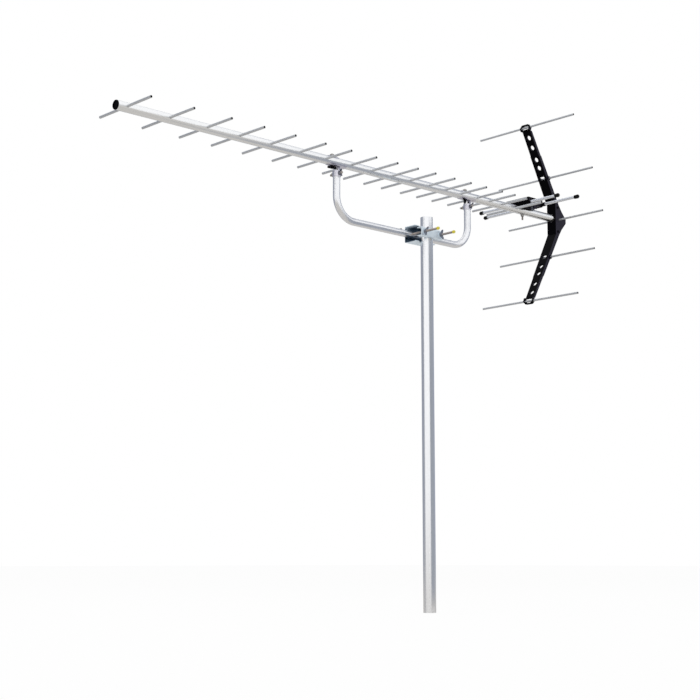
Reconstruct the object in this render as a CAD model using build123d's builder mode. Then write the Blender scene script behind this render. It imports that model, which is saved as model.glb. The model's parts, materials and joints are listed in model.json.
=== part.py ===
import os
from math import atan, cos, radians, sin, tan

from build123d import *

os.makedirs("parts", exist_ok=True)

# A television antenna on its mast, in mm. The origin is the centre of the mast's foot.
# +Z runs up the mast, -Y points to the transmitter, and +X is the side that the mast is on.

# Mast
mast_length = 1000.0
mast_radius = 15.9
mast_wall = 1.6

# Stay, the bent tube that carries the boom
stay_radius = 9.0
stay_wall = 1.5
stay_gap = 6.1
stay_drop = 141.0
stay_front_y = -286.0
stay_rear_y = 191.0
stay_bend_radius = 58.0
stay_top_gap = 10.0

# Boom
boom_rise = 97.0
boom_radius = 11.0
boom_wall = 1.2
boom_front_y = -930.0
plug_depth = 14.0
plug_rim = 3.0
plug_dish = 1.6
plug_dish_radius = 8.0
plug_round = 1.4

# Directors, named from the front, which pass through the boom
director_radius = 3.1
director_wall = 0.7
last_director_radius = 3.5
last_director_y = 385.0
director_steps = [113, 103.5, 93.5, 93.5, 93.5, 83, 83, 73, 72, 64, 71, 62, 60, 63, 52, 50.5, 61.5]
director_front_length = 195.0
director_rear_length = 198.0

# Radiators, the two driven pairs of tubes
radiator_radius = 4.0
radiator_wall = 0.9
radiator_rise = 15.5
radiator_front_y = 405.0
radiator_rear_y = 455.0
radiator_front_span = 278.0
radiator_rear_span = 334.0
radiator_inner_x = 8.0
cap_radius = 5.6
cap_depth = 9.0
cap_collar = 1.2

# Feed box on top of the boom
box_width = 84.0
box_front_y = 398.0
box_rear_y = 461.0
box_bottom = 9.5
box_split = 25.0
box_top = 30.0
box_wall = 2.0
box_corner = 3.5
cradle_half_width = 14.5
cradle_bottom = 5.5
cradle_top = 12.3
cradle_inset = 6.0
rib_half_width = 7.0
front_sleeve = 4.0
rear_sleeve = 13.0
sleeve_radius = 5.6
post_radius = 3.0
post_inset = 9.0
post_spacing_y = 30.0
lid_lip = 2.4
lid_chamfer = 1.2
board_corner = 1.0
board_height = 22.0
board_thickness = 1.6
terminal_thickness = 1.0
terminal_width = 7.0
terminal_length = 16.0
screw_radius = 1.5
screw_head_radius = 2.6
screw_head_height = 1.4
screw_depth = 2.4
screw_slot = 0.7
balun_length = 14.0
balun_width = 8.0
balun_height = 4.0
balun_hole_radius = 1.1

# Coaxial outlet under the feed box
coax_inset = 9.0
coax_y = 427.0
coax_radius = 4.75
coax_length = 11.5
coax_flange_radius = 6.6
coax_flange_height = 1.5
coax_bore_radius = 3.4
coax_stem_radius = 4.05
coax_stem_height = 1.5
coax_recess = 1.0
contact_hole_radius = 0.8
guard_length = 14.0
guard_height = 10.0

# Bolts and nuts
feed_bolt_y = 421.0
feed_bolt_radius = 2.5
feed_bolt_tail = 26.0
nut_height = 4.0
nut_flats = 8.0
hex_nut_height = 4.6
hex_nut_flats = 10.0
bolt_head_height = 3.5
nut_flange_radius = 5.5
nut_flange_height = 1.0

# Clearance between pieces, and how far a cut or a joining block runs past a face
fit_gap = 0.1
overrun = 1.0
cut_reach = 100.0

# Reflector, a V of black channel with five rods
reflector_drop = 4.5
reflector_width = 31.0
reflector_wall = 2.6
rod_radius = 2.9
rod_wall = 0.6
rod_length = 340.0
hub_front_y = 550.0
hub_half_height = 43.0
hub_side_depth = 16.0
hub_shoulder_depth = 27.0
hub_shoulder_z = 27.0
hub_depth = 46.0
hub_rear_half = 6.0
middle_rod_depth = 13.7
inner_rod_depth = 9.5
inner_rod_z = 114.7
outer_rod_lead = 2.0
outer_rod_z = 250.0
hub_socket_wall = 3.0
boom_stop_gap = 4.0
arm_reach = 105.0
arm_tip_depth = 8.0
arm_tip_z = 241.0
arm_tongue = 16.0
arm_shoulder = 4.0
arm_hole_radius = 7.0
arm_hole_heights = [222.0, 196.0, 164.0, 142.0]
ear_radius = 6.4
ear_boss_radius = 5.5
ear_boss_height = 3.0
window_width = 16.0
window_height = 9.0
collar_radius = 9.0
collar_depth = 6.5
arm_step_z = 176.0
arm_step = 1.2
head_half_depth = 4.5
head_below = 9.5
head_above = 8.5
head_half_width = 18.5
head_end_half_width = 10.5
head_rim = 3.2
rivet_radius = 2.0
rivet_head_radius = 3.6
rivet_head_height = 1.4

# Brackets between the boom and the stay
bracket_wall = 1.5
bracket_front = 30.0
bracket_rear = 26.0
bracket_arc = 62.0
bracket_skirt = 24.5
bracket_window = 9.5
bracket_neck = 12.0
boom_bolt_offsets = [15.0, 8.5]
boom_bolt_radius = 3.0
boom_bolt_above = 18.5
arc_reach = 40.0
cross_bolt_drop = 29.0
cross_bolt_ends = 21.0
saddle_length = 30.0
saddle_arc = 48.0
saddle_wall = 1.5
grip_radius = 4.2
grip_height = 6.0
grip_end_wall = 1.0
bar_reach = 12.6
bar_height = 5.0
bar_thickness = 5.5
bar_round = 1.8
bar_angles = [79.0, -43.0]

# Half of a wing's outline, as shares of its reach and of its height
wing_outline = [(0, 0.1), (0.5, 0.1), (0.9, 0.45), (1.0, 0.8), (0.85, 1.0), (0.55, 0.9), (0.3, 0.75), (0, 0.75)]

# Clamp between the stay and the mast
clamp_wall = 2.0
clamp_half_length = 37.0
clamp_height = 42.0
clamp_flange_x = 26.0
notch_half_angle = 60.0
jaw_half_length = 40.0
jaw_height = 23.0
jaw_depth = 14.0
jaw_clearance = 0.6
notch_gap = 0.02
tooth_pitch = 4.0
tooth_count = 6
tooth_radius = 0.9
clamp_bolt_y = 29.0
clamp_bolt_radius = 3.0
clamp_bolt_reach = 100.0
clamp_head_height = 4.0
clamp_head_flats = 10.0
wing_nut_radius = 5.0
wing_nut_height = 6.5
wing_nut_taper = 12.0
clamp_washer_radius = 7.0
clamp_washer_height = 1.2
wing_reaches = [12.5, 12.5, 9.5, 9.5]
wing_height = 9.8
wing_thickness = 2.0
wing_angles = [70.0, 96.0, 92.0, 66.0]
tip_radius = 4.0
tip_length = 6.0
tip_overlap = 3.5
tip_round = 2.4
stop_y = -63.0
stop_radius = 1.5
stop_head_radius = 3.0
stop_head_height = 2.2
stop_head_round = 1.0
stop_tail = 1.0

# Places that follow from these sizes
boom_x = -(mast_radius + stay_gap + stay_radius)
boom_z = mast_length + boom_rise
stay_z = boom_z - stay_drop
reflector_z = boom_z - reflector_drop
hub_waist_y = hub_front_y + hub_side_depth
hub_shoulder_y = hub_front_y + hub_shoulder_depth
hub_rear_y = hub_front_y + hub_depth
arm_front_tip_y = hub_front_y - arm_reach
arm_rear_tip_y = arm_front_tip_y + arm_tip_depth
arm_lean = arm_reach / (arm_tip_z - hub_half_height)
middle_rod_y = hub_front_y + middle_rod_depth
inner_rod_y = hub_front_y - (inner_rod_z - hub_half_height) * arm_lean + inner_rod_depth
outer_rod_y = arm_front_tip_y - outer_rod_lead
boom_rear_y = hub_rear_y - hub_socket_wall - boom_stop_gap
coax_x = box_width / 2 - coax_inset
post_spacing_x = box_width - 2 * post_inset
boom_axis = Plane(origin=(boom_x, 0, boom_z), x_dir=(1, 0, 0), z_dir=(0, 1, 0))
half_width = reflector_width / 2


def cross_plane(y, z, x=0.0):
    # A plane whose normal runs along +X, with x measured from the boom's vertical plane.
    return Plane(origin=(boom_x + x, y, z), x_dir=(0, 1, 0), z_dir=(1, 0, 0))


def save(solid, label):
    solid.label = label
    export_step(solid, f"parts/{label}.step")


# Mast
with BuildPart() as mast_tube:
    with BuildSketch(Plane.XY):
        Circle(mast_radius)
        Circle(mast_radius - mast_wall, mode=Mode.SUBTRACT)
    extrude(amount=mast_length)
save(mast_tube.part, "mast_tube")

# Places of the directors, from the front
director_ys = [last_director_y]
for step in reversed(director_steps):
    director_ys.insert(0, director_ys[0] - step)
director_count = len(director_ys)
director_radii = [director_radius] * (director_count - 1) + [last_director_radius]
boom_bolt_ys = [stay_y - offset for stay_y, offset in zip([stay_front_y, stay_rear_y], boom_bolt_offsets)]

# Boom, with the cross holes that the directors, the bolts and the middle reflector rod pass through
with BuildPart() as boom_tube:
    with BuildSketch(boom_axis.offset(boom_front_y)):
        Circle(boom_radius)
        Circle(boom_radius - boom_wall, mode=Mode.SUBTRACT)
    extrude(amount=boom_rear_y - boom_front_y)
    for y, radius in zip(director_ys, director_radii):
        with BuildSketch(cross_plane(y, boom_z)):
            Circle(radius + fit_gap)
        extrude(amount=2 * boom_radius, both=True, mode=Mode.SUBTRACT)
    with BuildSketch(cross_plane(middle_rod_y, reflector_z)):
        Circle(rod_radius + fit_gap)
    extrude(amount=2 * boom_radius, both=True, mode=Mode.SUBTRACT)
    with BuildSketch(Plane.XY.offset(boom_z)):
        with Locations(*[(boom_x, y) for y in boom_bolt_ys]):
            Circle(boom_bolt_radius + fit_gap)
        with Locations((boom_x, feed_bolt_y)):
            Circle(feed_bolt_radius + fit_gap)
    extrude(amount=2 * boom_radius, both=True, mode=Mode.SUBTRACT)
save(boom_tube.part, "boom_tube")

# Plug in the boom's front end: a stem, and a rim that covers the tube's edge
with BuildPart() as boom_end_plug:
    with BuildSketch(boom_axis.offset(boom_front_y)):
        Circle(boom_radius - boom_wall - fit_gap)
    extrude(amount=plug_depth)
    with BuildSketch(boom_axis.offset(boom_front_y)):
        Circle(boom_radius)
    extrude(amount=-plug_rim)
    fillet(boom_end_plug.edges().sort_by(Axis.Y)[0], plug_round)
    with BuildSketch(boom_axis.offset(boom_front_y - plug_rim)):
        Circle(plug_dish_radius)
    extrude(amount=plug_dish, mode=Mode.SUBTRACT)
save(boom_end_plug.part, "boom_end_plug")

# Directors: plain open tubes
for number, (y, radius) in enumerate(zip(director_ys, director_radii), start=1):
    share = (number - 1) / (director_count - 1)
    length = director_front_length + share * (director_rear_length - director_front_length)
    with BuildPart() as director:
        with BuildSketch(cross_plane(y, boom_z, -length / 2)):
            Circle(radius)
            Circle(radius - director_wall, mode=Mode.SUBTRACT)
        extrude(amount=length)
    save(director.part, f"director_{number:02d}")

# Feed box: base with its walls, floor, boom cradle, board posts and sleeves for the radiators
box_mid_y = (box_front_y + box_rear_y) / 2
box_length = box_rear_y - box_front_y
box_plane = Plane(origin=(boom_x, box_mid_y, boom_z + box_bottom))
radiator_ys = [radiator_front_y, radiator_rear_y]
radiator_spans = [radiator_front_span, radiator_rear_span]
sleeve_reaches = [front_sleeve, rear_sleeve]
radiator_z = boom_z + radiator_rise
with BuildPart() as feed_box_base:
    with BuildSketch(box_plane):
        RectangleRounded(box_width, box_length, box_corner)
    extrude(amount=box_split - box_bottom)
    with BuildSketch(box_plane.offset(box_wall)):
        RectangleRounded(box_width - 2 * box_wall, box_length - 2 * box_wall, box_corner - box_wall)
    extrude(amount=box_split - box_bottom, mode=Mode.SUBTRACT)
    with BuildSketch(box_plane.offset(cradle_bottom - box_bottom)):
        Rectangle(2 * cradle_half_width, box_length - 2 * cradle_inset)
    extrude(amount=box_bottom - cradle_bottom)
    with BuildSketch(box_plane):
        Rectangle(2 * rib_half_width, box_length - 2 * box_wall)
    extrude(amount=cradle_top - box_bottom)
    with BuildSketch(box_plane.offset(box_wall)):
        with GridLocations(post_spacing_x, post_spacing_y, 2, 2):
            Circle(post_radius)
    extrude(amount=board_height - box_bottom - box_wall)
    with BuildSketch(box_plane.offset(-guard_height)):
        with Locations(((box_width - box_wall) / 2, coax_y - box_mid_y)):
            Rectangle(box_wall, guard_length)
    extrude(amount=guard_height + overrun)
    for y, reach in zip(radiator_ys, sleeve_reaches):
        with BuildSketch(cross_plane(y, radiator_z, box_width / 2 - box_wall)):
            Circle(sleeve_radius)
        extrude(amount=box_wall + reach)
        with BuildSketch(cross_plane(y, radiator_z, -box_width / 2 + box_wall)):
            Circle(sleeve_radius)
        extrude(amount=-box_wall - reach)
        with BuildSketch(cross_plane(y, radiator_z)):
            Circle(radiator_radius + fit_gap / 2)
        extrude(amount=box_width, both=True, mode=Mode.SUBTRACT)
    with BuildSketch(boom_axis.offset(box_front_y - overrun)):
        Circle(boom_radius + fit_gap / 2)
    extrude(amount=box_length + 2 * overrun, mode=Mode.SUBTRACT)
    with BuildSketch(Plane.XY.offset(boom_z)):
        with Locations((boom_x, feed_bolt_y)):
            Circle(feed_bolt_radius + fit_gap)
        with Locations((boom_x + coax_x, coax_y)):
            Circle(coax_stem_radius + fit_gap)
    extrude(amount=box_top, mode=Mode.SUBTRACT)
save(feed_box_base.part, "feed_box_base")

# Lid, with a lip that drops inside the base's walls
lip_width = box_width - 2 * box_wall - 2 * fit_gap
lip_length = box_length - 2 * box_wall - 2 * fit_gap
with BuildPart() as feed_box_lid:
    with BuildSketch(box_plane.offset(box_split - box_bottom)):
        RectangleRounded(box_width, box_length, box_corner)
    extrude(amount=box_top - box_split)
    chamfer(feed_box_lid.edges().group_by(Axis.Z)[-1], lid_chamfer)
    with BuildSketch(box_plane.offset(box_split - box_bottom - lid_lip)):
        RectangleRounded(lip_width, lip_length, box_corner - box_wall - fit_gap)
    extrude(amount=lid_lip)
    with BuildSketch(box_plane.offset(box_split - box_bottom - lid_lip)):
        RectangleRounded(lip_width - 2 * box_wall, lip_length - 2 * box_wall, board_corner)
    extrude(amount=lid_lip + box_top - box_split - box_wall, mode=Mode.SUBTRACT)
save(feed_box_lid.part, "feed_box_lid")

# Matching board on the four posts, with room for the heads of the terminal screws
board_width = lip_width - 2 * box_wall - 2 * fit_gap
board_length = lip_length - 2 * box_wall - 2 * fit_gap
with BuildPart() as matching_board:
    with BuildSketch(box_plane.offset(board_height - box_bottom)):
        RectangleRounded(board_width, board_length, board_corner)
    extrude(amount=board_thickness)
save(matching_board.part, "matching_board")

# Two-hole ferrite core of the matching transformer
with BuildPart() as balun_core:
    with BuildSketch(box_plane.offset(board_height - box_bottom + board_thickness)):
        Rectangle(balun_width, balun_length)
    extrude(amount=balun_height)
    balun_z = boom_z + board_height + board_thickness + balun_height / 2
    for side in (-1, 1):
        with BuildSketch(cross_plane(box_mid_y + side * balun_length / 4, balun_z)):
            Circle(balun_hole_radius)
        extrude(amount=balun_width, both=True, mode=Mode.SUBTRACT)
save(balun_core.part, "balun_core")

# Radiators: each pair has a left and a right tube, with a cross hole for its terminal screw
screw_x = radiator_inner_x + terminal_length / 2
for place, y, span in zip(("front", "rear"), radiator_ys, radiator_spans):
    for side, sign in (("left", -1), ("right", 1)):
        with BuildPart() as radiator:
            with BuildSketch(cross_plane(y, radiator_z, sign * radiator_inner_x)):
                Circle(radiator_radius)
                Circle(radiator_radius - radiator_wall, mode=Mode.SUBTRACT)
            extrude(amount=sign * (span / 2 - radiator_inner_x))
            with BuildSketch(Plane.XY.offset(radiator_z)):
                with Locations((boom_x + sign * screw_x, y)):
                    Circle(screw_radius + fit_gap)
            extrude(amount=2 * radiator_radius, mode=Mode.SUBTRACT)
        save(radiator.part, f"radiator_{place}_{side}")

# Ball caps on the four outer ends
with BuildPart() as radiator_caps:
    for y, span in zip(radiator_ys, radiator_spans):
        for sign in (-1, 1):
            cap_spot = (boom_x + sign * span / 2, y, radiator_z)
            cap_plane = Plane(origin=cap_spot, x_dir=(-sign, 0, 0), z_dir=(0, 0, 1))
            with BuildSketch(cap_plane):
                Circle(cap_radius)
                with Locations((cap_depth / 2, 0)):
                    Rectangle(cap_depth, 2 * (radiator_radius + cap_collar))
                with Locations((cap_depth, 0)):
                    Rectangle(2 * cap_depth, 2 * radiator_radius + fit_gap, mode=Mode.SUBTRACT)
                with Locations((0, cap_radius)):
                    Rectangle(4 * cap_depth, 2 * cap_radius, mode=Mode.INTERSECT)
            revolve(axis=Axis(cap_spot, (1, 0, 0)))
save(radiator_caps.part, "radiator_caps")

# Terminal plates on the inner ends, and their screws
terminal_z = radiator_z + radiator_radius
with BuildPart() as feed_terminals:
    for y in radiator_ys:
        for sign in (-1, 1):
            with BuildSketch(Plane.XY.offset(terminal_z)):
                with Locations((boom_x + sign * screw_x, y)):
                    Rectangle(terminal_length, terminal_width)
                    Circle(screw_radius + fit_gap, mode=Mode.SUBTRACT)
            extrude(amount=terminal_thickness)
save(feed_terminals.part, "feed_terminals")

with BuildPart() as terminal_screws:
    screw_spots = [(boom_x + sign * screw_x, y) for y in radiator_ys for sign in (-1, 1)]
    with BuildSketch(Plane.XY.offset(terminal_z - screw_depth)):
        with Locations(*screw_spots):
            Circle(screw_radius)
    extrude(amount=screw_depth + terminal_thickness)
    with BuildSketch(Plane.XY.offset(terminal_z + terminal_thickness)):
        with Locations(*screw_spots):
            Circle(screw_head_radius)
            Rectangle(2 * screw_head_radius, screw_slot, mode=Mode.SUBTRACT)
    extrude(amount=screw_head_height)
    with BuildSketch(Plane.XY.offset(terminal_z + terminal_thickness)):
        with Locations(*screw_spots):
            Circle(screw_head_radius)
    extrude(amount=screw_head_height / 2)
save(terminal_screws.part, "terminal_screws")

# Coaxial outlet: a flanged metal body, open below, and the insulator that holds its contact
coax_top = boom_z + box_bottom
with BuildPart() as coax_outlet:
    with BuildSketch(Plane.XY.offset(coax_top - coax_flange_height)):
        with Locations((boom_x + coax_x, coax_y)):
            Circle(coax_flange_radius)
    extrude(amount=coax_flange_height)
    with BuildSketch(Plane.XY.offset(coax_top - coax_flange_height - coax_length)):
        with Locations((boom_x + coax_x, coax_y)):
            Circle(coax_radius)
    extrude(amount=coax_length)
    with BuildSketch(Plane.XY.offset(coax_top)):
        with Locations((boom_x + coax_x, coax_y)):
            Circle(coax_stem_radius)
    extrude(amount=box_wall + coax_stem_height)
    with BuildSketch(Plane.XY.offset(coax_top - coax_flange_height - coax_length)):
        with Locations((boom_x + coax_x, coax_y)):
            Circle(coax_bore_radius)
    extrude(amount=coax_length + coax_flange_height + box_wall + coax_stem_height, mode=Mode.SUBTRACT)
save(coax_outlet.part, "coax_outlet")

with BuildPart() as coax_insulator:
    with BuildSketch(Plane.XY.offset(coax_top - coax_flange_height - coax_length + coax_recess)):
        with Locations((boom_x + coax_x, coax_y)):
            Circle(coax_bore_radius)
            Circle(contact_hole_radius, mode=Mode.SUBTRACT)
    extrude(amount=coax_length + coax_flange_height + box_wall)
save(coax_insulator.part, "coax_insulator")

# Bolt that holds the feed box down on the boom, and its flanged nut
with BuildPart() as feed_bolt:
    with BuildSketch(Plane.XY.offset(boom_z + cradle_top)):
        with Locations((boom_x, feed_bolt_y)):
            RegularPolygon(nut_flats / 2, 6, major_radius=False)
    extrude(amount=bolt_head_height)
    with BuildSketch(Plane.XY.offset(boom_z - feed_bolt_tail)):
        with Locations((boom_x, feed_bolt_y)):
            Circle(feed_bolt_radius)
    extrude(amount=feed_bolt_tail + cradle_top)
save(feed_bolt.part, "feed_bolt")

with BuildPart() as feed_nut:
    with BuildSketch(Plane.XY.offset(boom_z - boom_radius - nut_flange_height - nut_height)):
        with Locations((boom_x, feed_bolt_y)):
            RegularPolygon(nut_flats / 2, 6, major_radius=False)
    extrude(amount=nut_height)
    with BuildSketch(Plane.XY.offset(boom_z - boom_radius - nut_flange_height)):
        with Locations((boom_x, feed_bolt_y)):
            Circle(nut_flange_radius)
    extrude(amount=nut_flange_height)
    with BuildSketch(Plane.XY.offset(boom_z - feed_bolt_tail)):
        with Locations((boom_x, feed_bolt_y)):
            Circle(feed_bolt_radius + fit_gap / 2)
    extrude(amount=feed_bolt_tail, mode=Mode.SUBTRACT)
save(feed_nut.part, "feed_nut")

# Reflector hub: a hollow moulding, open at the back, with a socket for the boom
hub_outline = [
    (hub_front_y, hub_half_height),
    (hub_waist_y, hub_half_height),
    (hub_shoulder_y, hub_shoulder_z),
    (hub_rear_y, hub_rear_half),
    (hub_rear_y, -hub_rear_half),
    (hub_shoulder_y, -hub_shoulder_z),
    (hub_waist_y, -hub_half_height),
    (hub_front_y, -hub_half_height),
]
rivet_z = hub_half_height - arm_tongue / 2
rivet_y = (hub_front_y + reflector_wall + hub_waist_y) / 2
hub_side = cross_plane(0, reflector_z)
with BuildPart() as reflector_hub:
    with BuildSketch(hub_side):
        Polygon(*hub_outline, align=None)
    extrude(amount=half_width, both=True)
    with BuildSketch(hub_side):
        with Locations((hub_front_y + reflector_wall + cut_reach / 2, 0)):
            Rectangle(cut_reach, 2 * hub_half_height + 2 * overrun)
    extrude(amount=half_width - reflector_wall, both=True, mode=Mode.SUBTRACT)
    with BuildSketch(boom_axis.offset(hub_front_y)):
        Circle(boom_radius + hub_socket_wall)
    extrude(amount=hub_rear_y - hub_front_y - overrun)
    with BuildSketch(boom_axis.offset(hub_front_y - overrun)):
        Circle(boom_radius + fit_gap)
    extrude(amount=boom_rear_y + boom_stop_gap - hub_front_y + overrun, mode=Mode.SUBTRACT)
    with BuildSketch(hub_side):
        with Locations((middle_rod_y, 0)):
            Circle(rod_radius + fit_gap)
        with Locations((rivet_y, rivet_z), (rivet_y, -rivet_z)):
            Circle(rivet_radius + fit_gap)
    extrude(amount=reflector_width, both=True, mode=Mode.SUBTRACT)
save(reflector_hub.part, "reflector_hub")

# Reflector arms: channel open at the back, drawn for the upper arm and mirrored for the lower one
arm_tilt = atan(arm_lean)


def web_front_y(z):
    # The y of the arm's front face at a height above the reflector's centre.
    return hub_front_y - (z - hub_half_height) * arm_lean


for label, sign in (("reflector_arm_upper", 1), ("reflector_arm_lower", -1)):
    arm_outline = [
        (hub_front_y, sign * hub_half_height),
        (arm_front_tip_y, sign * arm_tip_z),
        (arm_rear_tip_y, sign * arm_tip_z),
        (hub_waist_y, sign * hub_half_height),
    ]
    pocket_shift = reflector_wall / cos(arm_tilt)
    pocket_outline = [
        (hub_front_y + pocket_shift, sign * (hub_half_height - overrun)),
        (arm_front_tip_y + pocket_shift, sign * arm_tip_z),
        (arm_front_tip_y + cut_reach, sign * arm_tip_z),
        (hub_front_y + cut_reach, sign * (hub_half_height - overrun)),
    ]
    shoulder_z = hub_half_height + arm_shoulder
    shoulder_outline = [
        (hub_front_y, sign * hub_half_height),
        (web_front_y(shoulder_z), sign * shoulder_z),
        (web_front_y(shoulder_z) + hub_waist_y - hub_front_y, sign * shoulder_z),
        (hub_waist_y, sign * hub_half_height),
    ]
    tongue_outline = [
        (hub_front_y + reflector_wall + fit_gap, sign * (hub_half_height - arm_tongue)),
        (hub_front_y + reflector_wall + fit_gap, sign * hub_half_height),
        (hub_waist_y - overrun, sign * hub_half_height),
        (hub_waist_y - overrun, sign * (hub_half_height - arm_tongue)),
    ]
    head_outline = [
        (-half_width, -head_below),
        (half_width, -head_below),
        (head_half_width, 0),
        (head_end_half_width, head_above),
        (-head_end_half_width, head_above),
        (-head_half_width, 0),
    ]
    head_window = [
        (-half_width + head_rim, -head_below + head_rim),
        (half_width - head_rim, -head_below + head_rim),
        (head_half_width - 1.5 * head_rim, 0),
        (head_end_half_width - head_rim, head_above - head_rim),
        (-head_end_half_width + head_rim, head_above - head_rim),
        (-head_half_width + 1.5 * head_rim, 0),
    ]
    head_plane = Plane(
        origin=(boom_x, outer_rod_y - head_half_depth, reflector_z + sign * outer_rod_z),
        x_dir=(-sign, 0, 0),
        z_dir=(0, 1, 0),
    )
    with BuildPart() as reflector_arm:
        with BuildSketch(hub_side):
            Polygon(*arm_outline, align=None)
            with Locations((inner_rod_y, sign * inner_rod_z)):
                Circle(ear_radius)
        extrude(amount=half_width, both=True)
        with BuildSketch(hub_side):
            with Locations((inner_rod_y, sign * inner_rod_z)):
                Circle(ear_boss_radius)
        extrude(amount=half_width + ear_boss_height, both=True)
        with BuildSketch(hub_side):
            Polygon(*pocket_outline, align=None)
        extrude(amount=half_width - reflector_wall, both=True, mode=Mode.SUBTRACT)
        with BuildSketch(hub_side):
            Polygon(*shoulder_outline, align=None)
        extrude(amount=half_width - reflector_wall, both=True)
        with BuildSketch(hub_side):
            Polygon(*tongue_outline, align=None)
        extrude(amount=half_width - reflector_wall - fit_gap, both=True)
        for side in (-1, 1):
            with BuildSketch(cross_plane(0, reflector_z, side * half_width)):
                with Locations((arm_front_tip_y, sign * (arm_step_z + arm_tip_z) / 2)):
                    Rectangle(cut_reach, arm_tip_z - arm_step_z + overrun)
            extrude(amount=-side * arm_step, mode=Mode.SUBTRACT)
        with BuildSketch(head_plane):
            Polygon(*head_outline, align=None)
        extrude(amount=2 * head_half_depth)
        for height in arm_hole_heights:
            hole_spot = (boom_x, web_front_y(height), reflector_z + sign * height)
            lean = (0, cos(arm_tilt), sign * sin(arm_tilt))
            hole_plane = Plane(origin=hole_spot, x_dir=(1, 0, 0), z_dir=lean)
            with BuildSketch(hole_plane.offset(reflector_wall / 2)):
                Circle(collar_radius)
            extrude(amount=collar_depth - reflector_wall / 2)
            with BuildSketch(hole_plane):
                Circle(arm_hole_radius)
            extrude(amount=2 * collar_depth, both=True, mode=Mode.SUBTRACT)
        with BuildSketch(boom_axis):
            with Locations((0, reflector_drop - sign * inner_rod_z)):
                Rectangle(window_width, window_height)
        extrude(amount=hub_rear_y, mode=Mode.SUBTRACT)
        with BuildSketch(head_plane):
            Polygon(*head_window, align=None)
        extrude(amount=cut_reach, both=True, mode=Mode.SUBTRACT)
        with BuildSketch(hub_side):
            with Locations((inner_rod_y, sign * inner_rod_z), (outer_rod_y, sign * outer_rod_z)):
                Circle(rod_radius + fit_gap)
            with Locations((rivet_y, sign * rivet_z)):
                Circle(rivet_radius + fit_gap)
        extrude(amount=reflector_width, both=True, mode=Mode.SUBTRACT)
    save(reflector_arm.part, label)

# Rivets through the hub and the arms' tongues
with BuildPart() as reflector_rivets:
    rivet_spots = [(rivet_y, rivet_z), (rivet_y, -rivet_z)]
    with BuildSketch(hub_side):
        with Locations(*rivet_spots):
            Circle(rivet_radius)
    extrude(amount=half_width, both=True)
    for side in (-1, 1):
        with BuildSketch(cross_plane(0, reflector_z, side * half_width)):
            with Locations(*rivet_spots):
                Circle(rivet_head_radius)
        extrude(amount=side * rivet_head_height)
save(reflector_rivets.part, "reflector_rivets")

# Reflector rods, from the top down
rod_spots = [
    (outer_rod_y, outer_rod_z),
    (inner_rod_y, inner_rod_z),
    (middle_rod_y, 0),
    (inner_rod_y, -inner_rod_z),
    (outer_rod_y, -outer_rod_z),
]
for number, (y, z) in enumerate(rod_spots, start=1):
    with BuildPart() as reflector_rod:
        with BuildSketch(cross_plane(y, reflector_z + z, -rod_length / 2)):
            Circle(rod_radius)
            Circle(rod_radius - rod_wall, mode=Mode.SUBTRACT)
        extrude(amount=rod_length)
    save(reflector_rod.part, f"reflector_rod_{number}")

# Stay: one tube, bent twice, with holes for its cross bolts, the clamp bolts and the stop screw
stay_top_z = boom_z - boom_radius - bracket_wall - stay_top_gap
stay_path_points = [
    (boom_x, stay_front_y, stay_top_z),
    (boom_x, stay_front_y, stay_z),
    (boom_x, stay_rear_y, stay_z),
    (boom_x, stay_rear_y, stay_top_z),
]
cross_bolt_z = boom_z - cross_bolt_drop
with BuildPart() as stay_tube:
    with BuildLine() as stay_path:
        FilletPolyline(*stay_path_points, radius=stay_bend_radius)
    with BuildSketch(Plane(origin=stay_path_points[0], x_dir=(1, 0, 0), z_dir=(0, 0, -1))):
        Circle(stay_radius)
        Circle(stay_radius - stay_wall, mode=Mode.SUBTRACT)
    sweep(path=stay_path.line)
    with BuildSketch(cross_plane(0, 0)):
        with Locations((stay_front_y, cross_bolt_z), (stay_rear_y, cross_bolt_z)):
            Circle(boom_bolt_radius + fit_gap)
        with Locations((-clamp_bolt_y, stay_z), (clamp_bolt_y, stay_z)):
            Circle(clamp_bolt_radius + fit_gap)
    extrude(amount=2 * stay_radius, both=True, mode=Mode.SUBTRACT)
    with BuildSketch(Plane.XY.offset(stay_z)):
        with Locations((boom_x, stop_y)):
            Circle(stop_radius + fit_gap)
    extrude(amount=2 * stay_radius, mode=Mode.SUBTRACT)
save(stay_tube.part, "stay_tube")

# Stop screw on top of the stay, in front of the mast clamp
with BuildPart() as stay_stop_screw:
    with BuildSketch(Plane.XY.offset(stay_z + stay_radius - stay_wall - stop_tail)):
        with Locations((boom_x, stop_y)):
            Circle(stop_radius)
    extrude(amount=stay_wall + stop_tail)
    with BuildSketch(Plane.XY.offset(stay_z + stay_radius)):
        with Locations((boom_x, stop_y)):
            Circle(stop_head_radius)
    extrude(amount=stop_head_height)
    fillet(stay_stop_screw.edges().group_by(Axis.Z)[-1], stop_head_round)
save(stay_stop_screw.part, "stay_stop_screw")


def arc_wedge(half_angle, sign):
    # A wedge from the boom's axis, downward for a sign of 1, which keeps an arc of a ring round the boom.
    across = arc_reach * sin(radians(half_angle))
    down = sign * arc_reach * cos(radians(half_angle))
    return [(0, 0), (across, down), (0, 2 * down), (-across, down)]


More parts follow.
